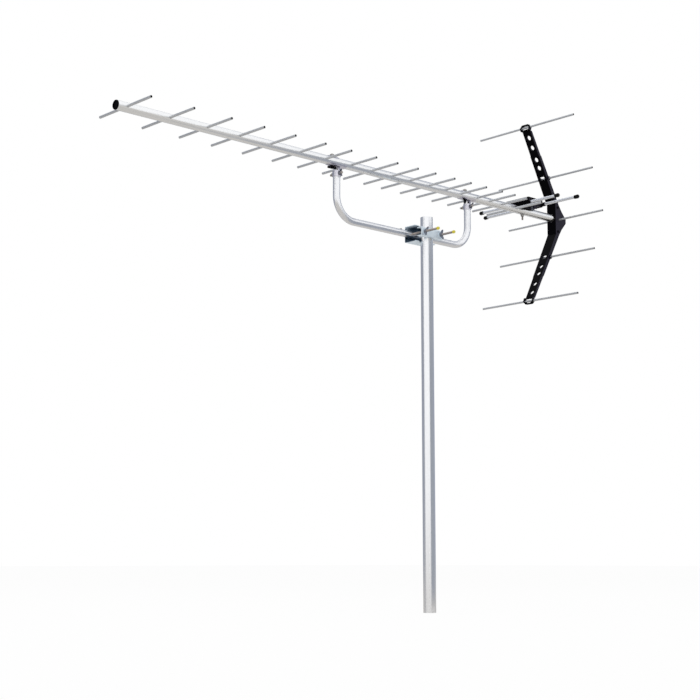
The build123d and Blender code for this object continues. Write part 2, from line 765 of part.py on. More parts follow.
# Boom brackets: a curved saddle under the boom, a neck behind the bolt, and a sleeve round the stay's end
sleeve_inner = stay_radius + fit_gap
sleeve_outer = sleeve_inner + bracket_wall
saddle_outer = boom_radius + bracket_wall
stay_end_ys = [stay_front_y, stay_rear_y]
for label, y, bolt_y in zip(("bracket_front", "bracket_rear"), stay_end_ys, boom_bolt_ys):
    sleeve_bottom = boom_z - saddle_outer - bracket_skirt
    with BuildPart() as bracket:
        with BuildSketch(boom_axis.offset(y - bracket_front)):
            Circle(saddle_outer)
            Circle(boom_radius, mode=Mode.SUBTRACT)
            Polygon(*arc_wedge(bracket_arc, 1), align=None, mode=Mode.INTERSECT)
        extrude(amount=bracket_front + bracket_rear)
        with BuildSketch(Plane(origin=(boom_x, y, sleeve_bottom))):
            Circle(sleeve_outer)
            Circle(sleeve_inner, mode=Mode.SUBTRACT)
        extrude(amount=bracket_skirt - bracket_window)
        with BuildSketch(Plane(origin=(boom_x, y, sleeve_bottom))):
            Circle(sleeve_outer)
            Circle(sleeve_inner, mode=Mode.SUBTRACT)
            with Locations((0, sleeve_outer)):
                Rectangle(bracket_neck, 2 * sleeve_outer, mode=Mode.INTERSECT)
        extrude(amount=bracket_skirt + bracket_wall)
        with BuildSketch(boom_axis.offset(y - bracket_front - overrun)):
            Circle(boom_radius)
        extrude(amount=bracket_front + bracket_rear + 2 * overrun, mode=Mode.SUBTRACT)
        with BuildSketch(cross_plane(y, cross_bolt_z)):
            Circle(boom_bolt_radius + fit_gap)
        extrude(amount=2 * sleeve_outer, both=True, mode=Mode.SUBTRACT)
        with BuildSketch(Plane.XY.offset(boom_z)):
            with Locations((boom_x, bolt_y)):
                Circle(boom_bolt_radius + fit_gap)
        extrude(amount=-2 * boom_radius, mode=Mode.SUBTRACT)
    save(bracket.part, label)

# Upper saddles on the boom, one over each bracket's bolt
with BuildPart() as boom_saddles:
    for y in boom_bolt_ys:
        with BuildSketch(boom_axis.offset(y - saddle_length / 2)):
            Circle(boom_radius + saddle_wall)
            Circle(boom_radius, mode=Mode.SUBTRACT)
            Polygon(*arc_wedge(saddle_arc, -1), align=None, mode=Mode.INTERSECT)
        extrude(amount=saddle_length)
    with BuildSketch(Plane.XY.offset(boom_z)):
        with Locations(*[(boom_x, y) for y in boom_bolt_ys]):
            Circle(boom_bolt_radius + fit_gap)
    extrude(amount=2 * boom_radius, mode=Mode.SUBTRACT)
save(boom_saddles.part, "boom_saddles")


def add_wings(base, reach, height, thickness):
    # Two swept-up wings on the piece being built. base has its z on the bolt's axis and its x along the wings.
    side = Plane(origin=base.origin, x_dir=base.x_dir, z_dir=base.x_dir.cross(base.z_dir))
    with BuildSketch(side) as wing_sides:
        for sign in (-1, 1):
            Polygon(*[(sign * across * reach, up * height) for across, up in wing_outline], align=None)
    extrude(wing_sides.sketch, amount=thickness / 2, both=True)


# Bolts up through brackets, boom and saddles, and bolts across the stay's ends
grip_top_z = boom_z - saddle_outer
boom_bolt_spots = [(boom_x, y) for y in boom_bolt_ys]
with BuildPart() as boom_bolts:
    with BuildSketch(Plane.XY.offset(grip_top_z - grip_height + grip_end_wall)):
        with Locations(*boom_bolt_spots):
            Circle(boom_bolt_radius)
    extrude(amount=grip_height - grip_end_wall + saddle_outer + boom_bolt_above)
save(boom_bolts.part, "boom_bolts")

cross_spots = [(y, cross_bolt_z) for y in stay_end_ys]
with BuildPart() as cross_bolts:
    with BuildSketch(cross_plane(0, 0)):
        with Locations(*cross_spots):
            Circle(boom_bolt_radius)
    extrude(amount=cross_bolt_ends, both=True)
save(cross_bolts.part, "cross_bolts")

# Hexagon nuts on the saddles, and on the far side of the sleeves
with BuildPart() as hex_nuts:
    with BuildSketch(Plane.XY.offset(boom_z + boom_radius + saddle_wall)):
        with Locations(*boom_bolt_spots):
            RegularPolygon(hex_nut_flats / 2, 6, major_radius=False)
        with Locations(*boom_bolt_spots):
            Circle(boom_bolt_radius + fit_gap / 2, mode=Mode.SUBTRACT)
    extrude(amount=hex_nut_height)
    with BuildSketch(cross_plane(0, 0, -sleeve_outer)):
        with Locations(*cross_spots):
            RegularPolygon(hex_nut_flats / 2, 6, major_radius=False)
        with Locations(*cross_spots):
            Circle(boom_bolt_radius + fit_gap / 2, mode=Mode.SUBTRACT)
    extrude(amount=-hex_nut_height)
save(hex_nuts.part, "hex_nuts")

# Bar grips moulded on the lower ends of the boom's bolts
with BuildPart() as bar_grips:
    for y, angle in zip(boom_bolt_ys, bar_angles):
        along = (cos(radians(angle)), sin(radians(angle)), 0)
        grip_base = Plane(origin=(boom_x, y, grip_top_z), x_dir=along, z_dir=(0, 0, -1))
        with BuildSketch(grip_base.offset(grip_height - bar_height)):
            RectangleRounded(2 * bar_reach, bar_thickness, bar_round)
        extrude(amount=bar_height)
        with BuildSketch(grip_base):
            Circle(grip_radius)
        extrude(amount=grip_height)
        with BuildSketch(grip_base):
            Circle(boom_bolt_radius + fit_gap / 2)
        extrude(amount=grip_height - grip_end_wall, mode=Mode.SUBTRACT)
save(bar_grips.part, "bar_grips")

# Mast clamp: a channel round the stay, whose flanges end in toothed notches that seat the mast
mast_x = -boom_x
notch_reach = (mast_radius + notch_gap) / sin(radians(notch_half_angle))
notch_slope = tan(radians(notch_half_angle))
clamp_web_x = -stay_radius - fit_gap
jaw_web_x = mast_x + notch_reach + jaw_clearance
clamp_bolt_spots = [(-clamp_bolt_y, stay_z), (clamp_bolt_y, stay_z)]
tooth_step_x = tooth_pitch * cos(radians(notch_half_angle))
tooth_step_y = tooth_pitch * sin(radians(notch_half_angle))


def notch_sketch(apex_x, sign):
    # The notch that seats the mast, with a row of small teeth cut along both edges.
    with BuildSketch(Plane(origin=(boom_x, 0, stay_z))) as notch:
        far_x = apex_x + sign * cut_reach
        Polygon((apex_x, 0), (far_x, cut_reach * notch_slope), (far_x, -cut_reach * notch_slope), align=None)
        for index in range(1, tooth_count + 1):
            for side in (-1, 1):
                with Locations((apex_x + sign * index * tooth_step_x, side * index * tooth_step_y)):
                    Circle(tooth_radius)
    return notch.sketch


bracket_depth = clamp_flange_x - clamp_web_x + clamp_wall
with BuildPart() as mast_bracket:
    with BuildSketch(cross_plane(0, stay_z, clamp_web_x - clamp_wall)):
        Rectangle(2 * clamp_half_length, clamp_height)
    extrude(amount=bracket_depth)
    fillet(mast_bracket.edges().filter_by(Axis.Y).group_by(Axis.X)[0], clamp_wall)
    with BuildSketch(cross_plane(0, stay_z, clamp_web_x)):
        Rectangle(2 * clamp_half_length, clamp_height - 2 * clamp_wall)
    extrude(amount=bracket_depth, mode=Mode.SUBTRACT)
    notch_face = notch_sketch(mast_x - notch_reach, 1)
    extrude(notch_face, amount=clamp_height, both=True, mode=Mode.SUBTRACT)
    with BuildSketch(cross_plane(0, 0, clamp_web_x)):
        with Locations(*clamp_bolt_spots):
            Circle(clamp_bolt_radius + fit_gap)
    extrude(amount=-2 * clamp_wall, mode=Mode.SUBTRACT)
save(mast_bracket.part, "mast_bracket")

# Jaw on the mast's other side: a shallower channel with the same notches
with BuildPart() as mast_jaw:
    with BuildSketch(cross_plane(0, stay_z, jaw_web_x - jaw_depth)):
        Rectangle(2 * jaw_half_length, jaw_height)
    extrude(amount=jaw_depth + clamp_wall)
    fillet(mast_jaw.edges().filter_by(Axis.Y).group_by(Axis.X)[-1], clamp_wall)
    with BuildSketch(cross_plane(0, stay_z, jaw_web_x)):
        Rectangle(2 * jaw_half_length, jaw_height - 2 * clamp_wall)
    extrude(amount=-jaw_depth, mode=Mode.SUBTRACT)
    notch_face = notch_sketch(mast_x + notch_reach, -1)
    extrude(notch_face, amount=jaw_height, both=True, mode=Mode.SUBTRACT)
    with BuildSketch(cross_plane(0, 0, jaw_web_x)):
        with Locations(*clamp_bolt_spots):
            Circle(clamp_bolt_radius + fit_gap)
    extrude(amount=clamp_wall, mode=Mode.SUBTRACT)
save(mast_jaw.part, "mast_jaw")

# Long clamp bolts, through channel, stay and jaw, with their heads on the channel
with BuildPart() as clamp_bolts:
    with BuildSketch(cross_plane(0, 0, clamp_web_x - clamp_wall)):
        with Locations(*clamp_bolt_spots):
            RegularPolygon(clamp_head_flats / 2, 6, major_radius=False)
    extrude(amount=-clamp_head_height)
    with BuildSketch(cross_plane(0, 0, clamp_web_x - clamp_wall)):
        with Locations(*clamp_bolt_spots):
            Circle(clamp_bolt_radius)
    extrude(amount=clamp_bolt_reach - clamp_web_x + clamp_wall)
save(clamp_bolts.part, "clamp_bolts")

# Soft tips on the bolts' ends
with BuildPart() as bolt_tips:
    with BuildSketch(cross_plane(0, 0, clamp_bolt_reach - tip_overlap)):
        with Locations(*clamp_bolt_spots):
            Circle(tip_radius)
    extrude(amount=tip_length)
    fillet(bolt_tips.edges().group_by(Axis.X)[-1], tip_round)
    with BuildSketch(cross_plane(0, 0, clamp_bolt_reach - tip_overlap)):
        with Locations(*clamp_bolt_spots):
            Circle(clamp_bolt_radius + fit_gap / 2)
    extrude(amount=tip_overlap, mode=Mode.SUBTRACT)
save(bolt_tips.part, "bolt_tips")

# Washers and wing nuts that draw the jaw in
washer_x = jaw_web_x + clamp_wall
with BuildPart() as clamp_washers:
    with BuildSketch(cross_plane(0, 0, washer_x)):
        with Locations(*clamp_bolt_spots):
            Circle(clamp_washer_radius)
        with Locations(*clamp_bolt_spots):
            Circle(clamp_bolt_radius + fit_gap, mode=Mode.SUBTRACT)
    extrude(amount=clamp_washer_height)
save(clamp_washers.part, "clamp_washers")

wing_nut_spots = [(boom_x + washer_x + clamp_washer_height, y, z) for y, z in clamp_bolt_spots]
wing_nut_spots += [(boom_x + sleeve_outer, y, z) for y, z in cross_spots]
with BuildPart() as wing_nuts:
    for nut_spot, angle, reach in zip(wing_nut_spots, wing_angles, wing_reaches):
        along = (0, cos(radians(angle)), sin(radians(angle)))
        nut_base = Plane(origin=nut_spot, x_dir=along, z_dir=(1, 0, 0))
        with BuildSketch(nut_base):
            Circle(wing_nut_radius)
        extrude(amount=wing_nut_height, taper=wing_nut_taper)
        add_wings(nut_base, reach, wing_height, wing_thickness)
        with BuildSketch(nut_base):
            Circle(clamp_bolt_radius + fit_gap / 2)
        extrude(amount=2 * wing_nut_height, mode=Mode.SUBTRACT)
save(wing_nuts.part, "wing_nuts")
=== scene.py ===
import json
import math

import bmesh
import bpy
from mathutils import Matrix, Vector

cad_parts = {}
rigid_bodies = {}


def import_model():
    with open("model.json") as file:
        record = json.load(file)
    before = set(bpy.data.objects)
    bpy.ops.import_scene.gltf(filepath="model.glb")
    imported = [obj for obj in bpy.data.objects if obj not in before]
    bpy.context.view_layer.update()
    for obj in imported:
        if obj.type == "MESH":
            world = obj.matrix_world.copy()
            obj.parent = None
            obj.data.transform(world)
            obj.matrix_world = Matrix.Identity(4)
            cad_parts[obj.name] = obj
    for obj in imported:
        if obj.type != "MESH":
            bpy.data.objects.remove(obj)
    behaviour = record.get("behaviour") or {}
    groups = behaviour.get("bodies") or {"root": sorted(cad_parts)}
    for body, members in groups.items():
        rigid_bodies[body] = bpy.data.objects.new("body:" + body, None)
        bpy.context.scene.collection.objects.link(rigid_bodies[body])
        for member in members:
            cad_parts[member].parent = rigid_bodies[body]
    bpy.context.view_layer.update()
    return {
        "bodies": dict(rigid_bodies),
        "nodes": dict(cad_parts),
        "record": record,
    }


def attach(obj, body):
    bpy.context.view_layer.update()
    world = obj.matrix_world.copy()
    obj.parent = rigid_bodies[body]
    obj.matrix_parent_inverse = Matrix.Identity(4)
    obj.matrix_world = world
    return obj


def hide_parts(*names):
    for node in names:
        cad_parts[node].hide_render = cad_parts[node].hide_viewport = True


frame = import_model()
nodes = frame["nodes"]
bodyName = list(frame["bodies"])[0]
print("frame loaded:", len(nodes), "nodes on", bodyName)

# Camera at the photograph's angle: low, in front of the antenna and on the mast's side, looking up
cameraSettings = {
    "place": (2.4305, -2.5457, 0.1264),
    "azimuth": 46.881,
    "elevation": -8.568,
    "lens": 72.03,
    "sensorWidth": 36,
    "farthest": 60,
}


def addCamera(settings):
    azimuth = math.radians(settings["azimuth"])
    elevation = math.radians(settings["elevation"])
    back = Vector((
        math.sin(azimuth) * math.cos(elevation),
        -math.cos(azimuth) * math.cos(elevation),
        math.sin(elevation),
    ))
    data = bpy.data.cameras.new("studioCamera")
    data.lens = settings["lens"]
    data.sensor_width = settings["sensorWidth"]
    data.clip_end = settings["farthest"]
    camera = bpy.data.objects.new("studioCamera", data)
    camera.location = settings["place"]
    camera.rotation_euler = back.to_track_quat("Z", "Y").to_euler()
    bpy.context.scene.collection.objects.link(camera)
    bpy.context.scene.camera = camera


addCamera(cameraSettings)
bpy.context.scene.view_settings.view_transform = "Standard"

# Soft studio lamps, aimed at the middle of the antenna. Reflections leave them out.
lampSettings = {
    "aim": (0.0, -0.15, 0.95),
    "lamps": {
        "keyLamp": {
            "place": (-0.6, -4.2, 2.6), "size": (2.2, 1.6), "power": 34, "colour": (1.0, 0.99, 0.97),
        },
        "skyLamp": {
            "place": (0.3, -0.6, 4.2), "size": (3.4, 3.4), "power": 34, "colour": (0.94, 0.97, 1.0),
        },
        "sideLamp": {
            "place": (4.0, 0.9, 1.7), "size": (1.2, 2.4), "power": 16, "colour": (1.0, 1.0, 1.0),
        },
    },
}


def addLamps(settings):
    aim = Vector(settings["aim"])
    for name, lamp in settings["lamps"].items():
        data = bpy.data.lights.new(name, "AREA")
        data.shape = "RECTANGLE"
        data.size, data.size_y = lamp["size"]
        data.energy = lamp["power"]
        data.color = lamp["colour"]
        obj = bpy.data.objects.new(name, data)
        obj.location = lamp["place"]
        obj.rotation_euler = (obj.location - aim).to_track_quat("Z", "Y").to_euler()
        obj.visible_glossy = False
        bpy.context.scene.collection.objects.link(obj)


addLamps(lampSettings)

# White surroundings: white where the camera and the metal see them, and dimmer as a light
stageSettings = {
    "worldLight": 0.7,
    "floorSize": 60.0,
    "floorDrop": 0.0005,
    "floorColour": 0.88,
    "floorRoughness": 0.9,
    "floorWhite": 0.94,
}


def addMath(tree, operation, first, second):
    node = tree.nodes.new("ShaderNodeMath")
    node.operation = operation
    for index, value in enumerate((first, second)):
        if isinstance(value, (int, float)):
            node.inputs[index].default_value = value
        else:
            tree.links.new(value, node.inputs[index])
    return node.outputs[0]


def seenDirectly(tree):
    # 1 for rays from the camera, from glossy surfaces and through glass
    path = tree.nodes.new("ShaderNodeLightPath")
    seen = addMath(tree, "MAXIMUM", path.outputs["Is Camera Ray"], path.outputs["Is Glossy Ray"])
    return addMath(tree, "MAXIMUM", seen, path.outputs["Is Transmission Ray"])


def addWorld(settings):
    world = bpy.data.worlds.new("whiteStudio")
    bpy.context.scene.world = world
    world.use_nodes = True
    tree = world.node_tree
    background = tree.nodes["Background"]
    background.inputs["Color"].default_value = (1, 1, 1, 1)
    strength = tree.nodes.new("ShaderNodeMapRange")
    strength.inputs["To Min"].default_value = settings["worldLight"]
    strength.inputs["To Max"].default_value = 1.0
    tree.links.new(seenDirectly(tree), strength.inputs["Value"])
    tree.links.new(strength.outputs["Result"], background.inputs["Strength"])


def addSheet(name, width, depth, place):
    # A flat sheet of the stage with its own material
    mesh = bpy.data.meshes.new(name)
    bm = bmesh.new()
    bmesh.ops.create_grid(bm, x_segments=1, y_segments=1, size=0.5)
    bmesh.ops.scale(bm, verts=bm.verts, vec=(width, depth, 1))
    bmesh.ops.transform(bm, verts=bm.verts, matrix=place)
    bm.to_mesh(mesh)
    bm.free()
    sheet = bpy.data.objects.new(name, mesh)
    bpy.context.scene.collection.objects.link(sheet)
    material = bpy.data.materials.new(name)
    material.use_nodes = True
    mesh.materials.append(material)
    return sheet


def addFloor(settings):
    place = Matrix.Translation((0, 0, -settings["floorDrop"]))
    floor = addSheet("studioFloor", settings["floorSize"], settings["floorSize"], place)
    tree = floor.active_material.node_tree
    shader = tree.nodes["Principled BSDF"]
    shade = settings["floorColour"]
    shader.inputs["Base Color"].default_value = (shade, shade, shade, 1)
    shader.inputs["Roughness"].default_value = settings["floorRoughness"]
    white = tree.nodes.new("ShaderNodeEmission")
    mix = tree.nodes.new("ShaderNodeMixShader")
    share = addMath(tree, "MULTIPLY", seenDirectly(tree), settings["floorWhite"])
    tree.links.new(share, mix.inputs["Fac"])
    tree.links.new(shader.outputs["BSDF"], mix.inputs[1])
    tree.links.new(white.outputs["Emission"], mix.inputs[2])
    tree.links.new(mix.outputs["Shader"], tree.nodes["Material Output"].inputs["Surface"])


# Grey cards that only reflections see: they give the tubes their darker edges.
# The mast's own card stands close to it and ends below the boom, so that the boom stays bright.
cardSettings = {
    "cards": {
        "leftCard": {
            "bearing": -165, "distance": 4.0, "middle": 1.6,
            "size": (9.5, 6.0), "tone": (0.31, 0.33, 0.38),
        },
        "backCard": {
            "bearing": 108, "distance": 4.0, "middle": 3.0,
            "size": (8.0, 6.0), "tone": (0.34, 0.37, 0.44),
        },
        "mastCard": {
            "bearing": 24, "distance": 0.35, "middle": 0.54,
            "size": (0.54, 1.04), "tone": (0.33, 0.35, 0.39),
        },
    },
    "ground": {"rise": 0.0003, "size": (16.0, 16.0), "tone": (0.57, 0.55, 0.52)},
}


def addCard(name, size, place, tone):
    card = addSheet(name, *size, place)
    card.visible_camera = False
    card.visible_diffuse = False
    card.visible_shadow = False
    card.visible_transmission = False
    tree = card.active_material.node_tree
    glow = tree.nodes.new("ShaderNodeEmission")
    glow.inputs["Color"].default_value = (*tone, 1)
    tree.links.new(glow.outputs["Emission"], tree.nodes["Material Output"].inputs["Surface"])


def addCards(settings):
    for name, card in settings["cards"].items():
        bearing = math.radians(card["bearing"])
        outward = Vector((math.cos(bearing), math.sin(bearing), 0))
        turned = outward.to_track_quat("Z", "Y").to_matrix().to_4x4()
        place = Matrix.Translation(outward * card["distance"] + Vector((0, 0, card["middle"]))) @ turned
        addCard(name, card["size"], place, card["tone"])
    ground = settings["ground"]
    addCard("groundCard", ground["size"], Matrix.Translation((0, 0, ground["rise"])), ground["tone"])


addWorld(stageSettings)
addFloor(stageSettings)
addCards(cardSettings)
print("stage, lamps and camera ready")


# Shared effects

# Noises, as scale, detail and roughness. The coordinates of lines and grain are scaled before the noise.
noiseSettings = {
    "lines": (1.0, 3.0, 0.5),
    "cloud": (22.0, 4.0, 0.6),
    "stain": (60.0, 4.0, 0.6),
    "grain": (1.0, 2.0, 0.5),
    "patches": (30.0, 3.0, 0.6),
}


def groupShell(name, inputs, outputs):
    # An empty node group with named sockets: inputs are (name, kind, value), outputs are (name, kind)
    group = bpy.data.node_groups.new(name, "ShaderNodeTree")
    for label, kind, value in inputs:
        socket = group.interface.new_socket(label, in_out="INPUT", socket_type=kind)
        if value is not None:
            socket.default_value = value
    for label, kind in outputs:
        group.interface.new_socket(label, in_out="OUTPUT", socket_type=kind)
    start = group.nodes.new("NodeGroupInput")
    end = group.nodes.new("NodeGroupOutput")
    return group, start, end


def addNoise(tree, vector, kind):
    scale, detail, roughness = noiseSettings[kind]
    node = tree.nodes.new("ShaderNodeTexNoise")
    node.inputs["Scale"].default_value = scale
    node.inputs["Detail"].default_value = detail
    node.inputs["Roughness"].default_value = roughness
    tree.links.new(vector, node.inputs["Vector"])
    return node.outputs["Fac"]


def stretchedGrain():
    # Fine lines: noise whose coordinates are scaled by axis, so that it runs along the tube
    group, start, end = groupShell(
        "stretchedGrain",
        [("Vector", "NodeSocketVector", None), ("Stretch", "NodeSocketVector", (1, 1, 1))],
        [("Lines", "NodeSocketFloat"), ("Cloud", "NodeSocketFloat")],
    )
    scaled = group.nodes.new("ShaderNodeVectorMath")
    scaled.operation = "MULTIPLY"
    group.links.new(start.outputs["Vector"], scaled.inputs[0])
    group.links.new(start.outputs["Stretch"], scaled.inputs[1])
    group.links.new(addNoise(group, scaled.outputs["Vector"], "lines"), end.inputs["Lines"])
    group.links.new(addNoise(group, start.outputs["Vector"], "cloud"), end.inputs["Cloud"])
    return group


def boreShade():
    # The mask of a bore's painted shade: 1 inside a round bore, nearer to its axis than the radius. Across
    # is 0 along the axis and 1 elsewhere.
    group, start, end = groupShell(
        "boreShade",
        [
            ("Vector", "NodeSocketVector", None),
            ("Centre", "NodeSocketVector", (0, 0, 0)),
            ("Across", "NodeSocketVector", (1, 1, 0)),
            ("Radius", "NodeSocketFloat", 0.01),
        ],
        [("Inside", "NodeSocketFloat")],
    )
    offset = group.nodes.new("ShaderNodeVectorMath")
    offset.operation = "SUBTRACT"
    flat = group.nodes.new("ShaderNodeVectorMath")
    flat.operation = "MULTIPLY"
    length = group.nodes.new("ShaderNodeVectorMath")
    length.operation = "LENGTH"
    group.links.new(start.outputs["Vector"], offset.inputs[0])
    group.links.new(start.outputs["Centre"], offset.inputs[1])
    group.links.new(offset.outputs["Vector"], flat.inputs[0])
    group.links.new(start.outputs["Across"], flat.inputs[1])
    group.links.new(flat.outputs["Vector"], length.inputs[0])
    inside = addMath(group, "LESS_THAN", length.outputs["Value"], start.outputs["Radius"])
    group.links.new(inside, end.inputs["Inside"])
    return group


def zincSpangle():
    # Crystals of a zinc coat: cells that differ a little in brightness and in gloss
    group, start, end = groupShell(
        "zincSpangle",
        [("Vector", "NodeSocketVector", None), ("Scale", "NodeSocketFloat", 300.0)],
        [("Cells", "NodeSocketFloat"), ("Stain", "NodeSocketFloat")],
    )
    cells = group.nodes.new("ShaderNodeTexVoronoi")
    group.links.new(start.outputs["Vector"], cells.inputs["Vector"])
    group.links.new(start.outputs["Scale"], cells.inputs["Scale"])
    grey = group.nodes.new("ShaderNodeSeparateColor")
    group.links.new(cells.outputs["Color"], grey.inputs["Color"])
    group.links.new(grey.outputs["Red"], end.inputs["Cells"])
    group.links.new(addNoise(group, start.outputs["Vector"], "stain"), end.inputs["Stain"])
    return group


def mouldedGrain():
    # Fine spark texture of a plastic mould, and slow patches of gloss
    group, start, end = groupShell(
        "mouldedGrain",
        [("Vector", "NodeSocketVector", None), ("Scale", "NodeSocketFloat", 900.0)],
        [("Grain", "NodeSocketFloat"), ("Patches", "NodeSocketFloat")],
    )
    scaled = group.nodes.new("ShaderNodeVectorMath")
    scaled.operation = "SCALE"
    group.links.new(start.outputs["Vector"], scaled.inputs[0])
    group.links.new(start.outputs["Scale"], scaled.inputs["Scale"])
    group.links.new(addNoise(group, scaled.outputs["Vector"], "grain"), end.inputs["Grain"])
    group.links.new(addNoise(group, start.outputs["Vector"], "patches"), end.inputs["Patches"])
    return group


grainGroup = stretchedGrain()
boreGroup = boreShade()
spangleGroup = zincSpangle()
mouldGroup = mouldedGrain()


def placeGroup(tree, group, vector, values):
    node = tree.nodes.new("ShaderNodeGroup")
    node.node_tree = group
    tree.links.new(vector, node.inputs["Vector"])
    for label, value in values.items():
        node.inputs[label].default_value = value
    return node


def newMaterial(name, metallic):
    # A material with its node tree, its shader and the coordinates that its effects use
    material = bpy.data.materials.new(name)
    material.use_nodes = True
    tree = material.node_tree
    shader = tree.nodes["Principled BSDF"]
    shader.inputs["Metallic"].default_value = metallic
    coordinates = tree.nodes.new("ShaderNodeTexCoord")
    return material, tree, shader, coordinates.outputs["Object"]


def addRange(tree, value, low, high, fromLow=0.3, fromHigh=0.7):
    # Maps a value to a range. Noise lies mostly between the default limits.
    node = tree.nodes.new("ShaderNodeMapRange")
    node.inputs["From Min"].default_value = fromLow
    node.inputs["From Max"].default_value = fromHigh
    node.inputs["To Min"].default_value = low
    node.inputs["To Max"].default_value = high
    tree.links.new(value, node.inputs["Value"])
    return node.outputs["Result"]


# The mix node's sockets for a mix of colours
mixSockets = {"factor": 0, "first": 6, "second": 7, "result": 2}


def addColourMix(tree, factor, first, second):
    node = tree.nodes.new("ShaderNodeMix")
    node.data_type = "RGBA"
    for side, value in (("first", first), ("second", second)):
        socket = node.inputs[mixSockets[side]]
        if isinstance(value, tuple):
            socket.default_value = (*value, 1)
        else:
            tree.links.new(value, socket)
    tree.links.new(factor, node.inputs[mixSockets["factor"]])
    return node.outputs[mixSockets["result"]]


def addBump(tree, shader, height, strength, distance):
    node = tree.nodes.new("ShaderNodeBump")
    node.inputs["Strength"].default_value = strength
    node.inputs["Distance"].default_value = distance
    tree.links.new(height, node.inputs["Height"])
    tree.links.new(node.outputs["Normal"], shader.inputs["Normal"])


# How far the fine lines change the roughness, the painted shade and the roughness of a bore, and the bump
drawnSettings = {
    "lineGloss": 0.012,
    "boreShadeColour": (0.05, 0.05, 0.055),
    "boreRoughness": 0.7,
    "bump": 0.02,
    "bumpDepth": 0.0001,
}


def drawnMetal(name, light, dark, roughness, stretch, bore=None):
    # Drawn and anodised tube: fine lines along it, cloudy gloss and, where a bore is given, a dull inside
    # painted dark as shade
    material, tree, shader, place = newMaterial(name, 1.0)
    grain = placeGroup(tree, grainGroup, place, {"Stretch": stretch})
    lines = addRange(tree, grain.outputs["Lines"], 0.0, 1.0)
    colour = addColourMix(tree, lines, dark, light)
    gloss = addMath(
        tree, "ADD",
        addRange(tree, grain.outputs["Cloud"], *roughness),
        addRange(tree, grain.outputs["Lines"], -drawnSettings["lineGloss"], drawnSettings["lineGloss"]),
    )
    if bore:
        inside = placeGroup(tree, boreGroup, place, bore).outputs["Inside"]
        colour = addColourMix(tree, inside, colour, drawnSettings["boreShadeColour"])
        dull = addMath(tree, "MULTIPLY", inside, drawnSettings["boreRoughness"])
        gloss = addMath(tree, "MAXIMUM", gloss, dull)
    tree.links.new(colour, shader.inputs["Base Color"])
    tree.links.new(gloss, shader.inputs["Roughness"])
    addBump(tree, shader, grain.outputs["Cloud"], drawnSettings["bump"], drawnSettings["bumpDepth"])
    return material


# The share of the dark colour in a full stain, the noise values between which it sets in, and its roughness
zincSettings = {
    "stainShare": 0.5,
    "stainFrom": (0.5, 0.8),
    "stainGloss": (-0.05, 0.08),
    "bump": 0.08,
    "bumpDepth": 0.0001,
}


def zincMetal(name, light, dark, roughness, scale, metallic=1.0):
    # Zinc coat with faint crystals and stains
    material, tree, shader, place = newMaterial(name, metallic)
    spangle = placeGroup(tree, spangleGroup, place, {"Scale": scale})
    colour = addColourMix(tree, spangle.outputs["Cells"], dark, light)
    stain = spangle.outputs["Stain"]
    share = addRange(tree, stain, 0.0, zincSettings["stainShare"], *zincSettings["stainFrom"])
    stained = addColourMix(tree, share, colour, dark)
    gloss = addMath(
        tree, "ADD",
        addRange(tree, spangle.outputs["Cells"], *roughness, 0.0, 1.0),
        addRange(tree, stain, *zincSettings["stainGloss"]),
    )
    tree.links.new(stained, shader.inputs["Base Color"])
    tree.links.new(gloss, shader.inputs["Roughness"])
    addBump(tree, shader, stain, zincSettings["bump"], zincSettings["bumpDepth"])
    return material


def lightenMouth(material, mouth):
    # Paler where light falls into the open end of a channel
    tree = material.node_tree
    shader = tree.nodes["Principled BSDF"]
    plain = shader.inputs["Base Color"].links[0].from_socket
    coordinates = tree.nodes.new("ShaderNodeTexCoord")
    split = tree.nodes.new("ShaderNodeSeparateXYZ")
    tree.links.new(coordinates.outputs["Object"], split.inputs["Vector"])
    along = addRange(tree, split.outputs["Y"], 1.0, 0.0, *mouth["alongY"])
    above = addRange(tree, split.outputs["Z"], 0.0, 1.0, *mouth["aboveZ"])
    share = addMath(tree, "MULTIPLY", along, above)
    tree.links.new(addColourMix(tree, share, plain, mouth["colour"]), shader.inputs["Base Color"])
    tree.links.new(addRange(tree, share, 1.0, mouth["metallic"], 0.0, 1.0), shader.inputs["Metallic"])


mouldSettings = {"grainGloss": 0.03, "bumpDepth": 0.00005}


def mouldedPlastic(name, light, dark, roughness, grainScale=900.0, bump=0.15, gloss=0.5, sheen=(1, 1, 1)):
    # Moulded plastic and the like. Gloss and sheen set the strength and the tint of its reflections.
    material, tree, shader, place = newMaterial(name, 0.0)
    shader.inputs["Specular IOR Level"].default_value = gloss
    shader.inputs["Specular Tint"].default_value = (*sheen, 1)
    mould = placeGroup(tree, mouldGroup, place, {"Scale": grainScale})
    colour = addColourMix(tree, addRange(tree, mould.outputs["Patches"], 0.0, 1.0), dark, light)
    dullness = addMath(
        tree, "ADD",
        addRange(tree, mould.outputs["Patches"], *roughness),
        addRange(tree, mould.outputs["Grain"], -mouldSettings["grainGloss"], mouldSettings["grainGloss"]),
    )
    tree.links.new(colour, shader.inputs["Base Color"])
    tree.links.new(dullness, shader.inputs["Roughness"])
    addBump(tree, shader, mould.outputs["Grain"], bump, mouldSettings["bumpDepth"])
    return material


